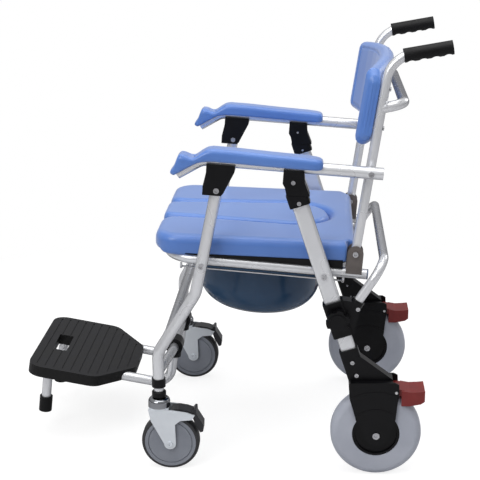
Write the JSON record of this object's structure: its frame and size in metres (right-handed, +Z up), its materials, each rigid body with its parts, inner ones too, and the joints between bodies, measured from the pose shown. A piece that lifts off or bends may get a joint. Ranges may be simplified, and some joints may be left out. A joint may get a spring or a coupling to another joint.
{
  "type": "shower commode chair",
  "caption": "Folding shower commode chair with a moulded keyhole seat, slide-out bucket, padded armrests, flip-up footplate, swivel front casters and braked rear wheels.",
  "frame": {"origin": "on the floor, under the middle of the chair's width and of its length", "axes": "+X to the sitter's left, +Y to the chair's rear, +Z up"},
  "size_m": [0.587, 0.9246, 0.9337],
  "materials": {
    "aluminium": "satin",
    "wire": "polished",
    "bolts": "satin",
    "hinge_plate": "satin",
    "blue_pad": "soft moulded foam skin",
    "blue_insert": "soft moulded foam skin",
    "bucket_plastic": "gloss",
    "black_plastic": "matte",
    "plug_plastic": "matte",
    "grip_rubber": "matte",
    "plate_plastic": "grained",
    "fork_metal": "smooth",
    "lever_plastic": "matte",
    "caster_tread": "matte",
    "caster_body": "matte",
    "rear_tread": "matte",
    "pedal_plastic": "matte"
  },
  "bodies": {
    "seat_frame": {"seat_frame_tube": "aluminium", "rail_plugs": "plug_plastic", "hinge_brackets": "hinge_plate", "bucket_wires": "wire", "seat_base": "black_plastic", "seat_pad": "blue_pad", "pivot_bolts": "bolts"},
    "insert": {"seat_insert": "blue_insert"},
    "bucket_body": {"bucket": "bucket_plastic", "bucket_flange": "bucket_plastic"},
    "back_frame": {"back_tubes": "aluminium", "back_hoop": "aluminium", "backrest_pad": "blue_pad", "push_grips": "grip_rubber", "back_bolts": "bolts"},
    "armrests": {"armrest_tube_left": "aluminium", "armrest_tube_right": "aluminium", "armrest_pad_left": "blue_pad", "armrest_pad_right": "blue_pad", "arm_brackets": "black_plastic", "arm_bolts": "bolts"},
    "front_frame": {"front_legs": "aluminium", "front_cross_bars": "aluminium", "front_leg_collars": "black_plastic"},
    "footrest": {"footrest_tubes": "aluminium", "footrest_sleeves": "black_plastic", "footplate": "plate_plastic", "footrest_tips": "grip_rubber"},
    "rear_frame": {"rear_legs": "aluminium", "rear_brace": "aluminium", "rear_clamps": "black_plastic", "rear_leg_caps": "black_plastic", "rear_frame_screws": "bolts"},
    "stem_left": {"front_stem_left": "aluminium", "stem_ring_left": "black_plastic"},
    "caster_left": {"caster_fork_left": "fork_metal"},
    "caster_wheel_left": {"caster_tyre_left": "caster_tread", "caster_core_left": "caster_body"},
    "caster_lever_left": {"caster_brake_left": "lever_plastic"},
    "knob_left": {"clamp_knob_left": "black_plastic"},
    "strut_left": {"rear_inner_leg_left": "aluminium", "rear_fork_left": "black_plastic", "rear_axle_bolts_left": "bolts"},
    "rear_wheel_left": {"rear_tyre_left": "rear_tread", "rear_hub_left": "black_plastic"},
    "pedal_left": {"brake_pedal_left": "pedal_plastic"},
    "stem_right": {"front_stem_right": "aluminium", "stem_ring_right": "black_plastic"},
    "caster_right": {"caster_fork_right": "fork_metal"},
    "caster_wheel_right": {"caster_tyre_right": "caster_tread", "caster_core_right": "caster_body"},
    "caster_lever_right": {"caster_brake_right": "lever_plastic"},
    "knob_right": {"clamp_knob_right": "black_plastic"},
    "strut_right": {"rear_inner_leg_right": "aluminium", "rear_fork_right": "black_plastic", "rear_axle_bolts_right": "bolts"},
    "rear_wheel_right": {"rear_tyre_right": "rear_tread", "rear_hub_right": "black_plastic"},
    "pedal_right": {"brake_pedal_right": "pedal_plastic"}
  },
  "joints": [
    {"name": "fold", "type": "hinge", "parent": "seat_frame", "child": "back_frame", "pos_m": [0, 0.27381, 0.48819], "axis": [1, 0, 0], "range_deg": [0, 32]},
    {"name": "armrest_level", "type": "hinge", "parent": "back_frame", "child": "armrests", "pos_m": [0, 0.3011, 0.66864], "axis": [1, 0, 0], "range_deg": [-33, 0.5]},
    {"name": "front_leg_fold", "type": "hinge", "parent": "seat_frame", "child": "front_frame", "pos_m": [0, -0.04885, 0.468], "axis": [1, 0, 0], "range_deg": [-0.5, 35.9]},
    {"name": "rear_leg_fold", "type": "hinge", "parent": "seat_frame", "child": "rear_frame", "pos_m": [0, 0.20832, 0.44731], "axis": [1, 0, 0], "range_deg": [-0.5, 20.2]},
    {"name": "insert_lift", "type": "slide", "parent": "seat_frame", "child": "insert", "axis": [0, 0.0349, 0.9994], "range_m": [0, 0.06]},
    {"name": "bucket_slide", "type": "slide", "parent": "seat_frame", "child": "bucket_body", "axis": [0, 0.9968, -0.0802], "range_m": [0, 0.25]},
    {"name": "footrest_flip", "type": "hinge", "parent": "front_frame", "child": "footrest", "pos_m": [0, -0.12885, 0.222], "axis": [1, 0, 0], "range_deg": [-80, 0]},
    {"name": "stem_slide_left", "type": "slide", "parent": "front_frame", "child": "stem_left", "axis": [0, 0, -1], "range_m": [0, 0.04]},
    {"name": "caster_swivel_left", "type": "hinge", "parent": "stem_left", "child": "caster_left", "pos_m": [0.254, -0.14585, 0.143], "axis": [0, 0, 1], "continuous": true},
    {"name": "caster_spin_left", "type": "hinge", "parent": "caster_left", "child": "caster_wheel_left", "pos_m": [0.254, -0.12185, 0.0635], "axis": [1, 0, 0], "continuous": true},
    {"name": "caster_brake_press_left", "type": "hinge", "parent": "caster_left", "child": "caster_lever_left", "pos_m": [0.254, -0.11082, 0.13299], "axis": [1, 0, 0], "range_deg": [-6, 0]},
    {"name": "rear_slide_left", "type": "slide", "parent": "rear_frame", "child": "strut_left", "axis": [0, 0.3143, -0.9493], "range_m": [0, 0.04]},
    {"name": "knob_turn_left", "type": "hinge", "parent": "rear_frame", "child": "knob_left", "pos_m": [0.254, 0.23833, 0.35666], "axis": [1, 0, 0], "range_deg": [-360, 0]},
    {"name": "rear_spin_left", "type": "hinge", "parent": "strut_left", "child": "rear_wheel_left", "pos_m": [0.254, 0.32415, 0.0975], "axis": [1, 0, 0], "continuous": true},
    {"name": "pedal_press_left", "type": "hinge", "parent": "strut_left", "child": "pedal_left", "pos_m": [0.254, 0.36519, 0.1971], "axis": [1, 0, 0], "range_deg": [-5, 0]},
    {"name": "stem_slide_right", "type": "slide", "parent": "front_frame", "child": "stem_right", "axis": [0, 0, -1], "range_m": [0, 0.04]},
    {"name": "caster_swivel_right", "type": "hinge", "parent": "stem_right", "child": "caster_right", "pos_m": [-0.254, -0.14585, 0.143], "axis": [0, 0, 1], "continuous": true},
    {"name": "caster_spin_right", "type": "hinge", "parent": "caster_right", "child": "caster_wheel_right", "pos_m": [-0.254, -0.12185, 0.0635], "axis": [1, 0, 0], "continuous": true},
    {"name": "caster_brake_press_right", "type": "hinge", "parent": "caster_right", "child": "caster_lever_right", "pos_m": [-0.254, -0.11082, 0.13299], "axis": [1, 0, 0], "range_deg": [-6, 0]},
    {"name": "rear_slide_right", "type": "slide", "parent": "rear_frame", "child": "strut_right", "axis": [0, 0.3143, -0.9493], "range_m": [0, 0.04]},
    {"name": "knob_turn_right", "type": "hinge", "parent": "rear_frame", "child": "knob_right", "pos_m": [-0.254, 0.23833, 0.35666], "axis": [1, 0, 0], "range_deg": [0, 360]},
    {"name": "rear_spin_right", "type": "hinge", "parent": "strut_right", "child": "rear_wheel_right", "pos_m": [-0.254, 0.32415, 0.0975], "axis": [1, 0, 0], "continuous": true},
    {"name": "pedal_press_right", "type": "hinge", "parent": "strut_right", "child": "pedal_right", "pos_m": [-0.254, 0.36519, 0.1971], "axis": [1, 0, 0], "range_deg": [-5, 0]}
  ],
  "couplings": [
    {"joint": "armrest_level", "follows": "fold", "ratio": -1.02},
    {"joint": "front_leg_fold", "follows": "fold", "ratio": 1.09},
    {"joint": "rear_leg_fold", "follows": "fold", "ratio": 0.6}
  ]
}
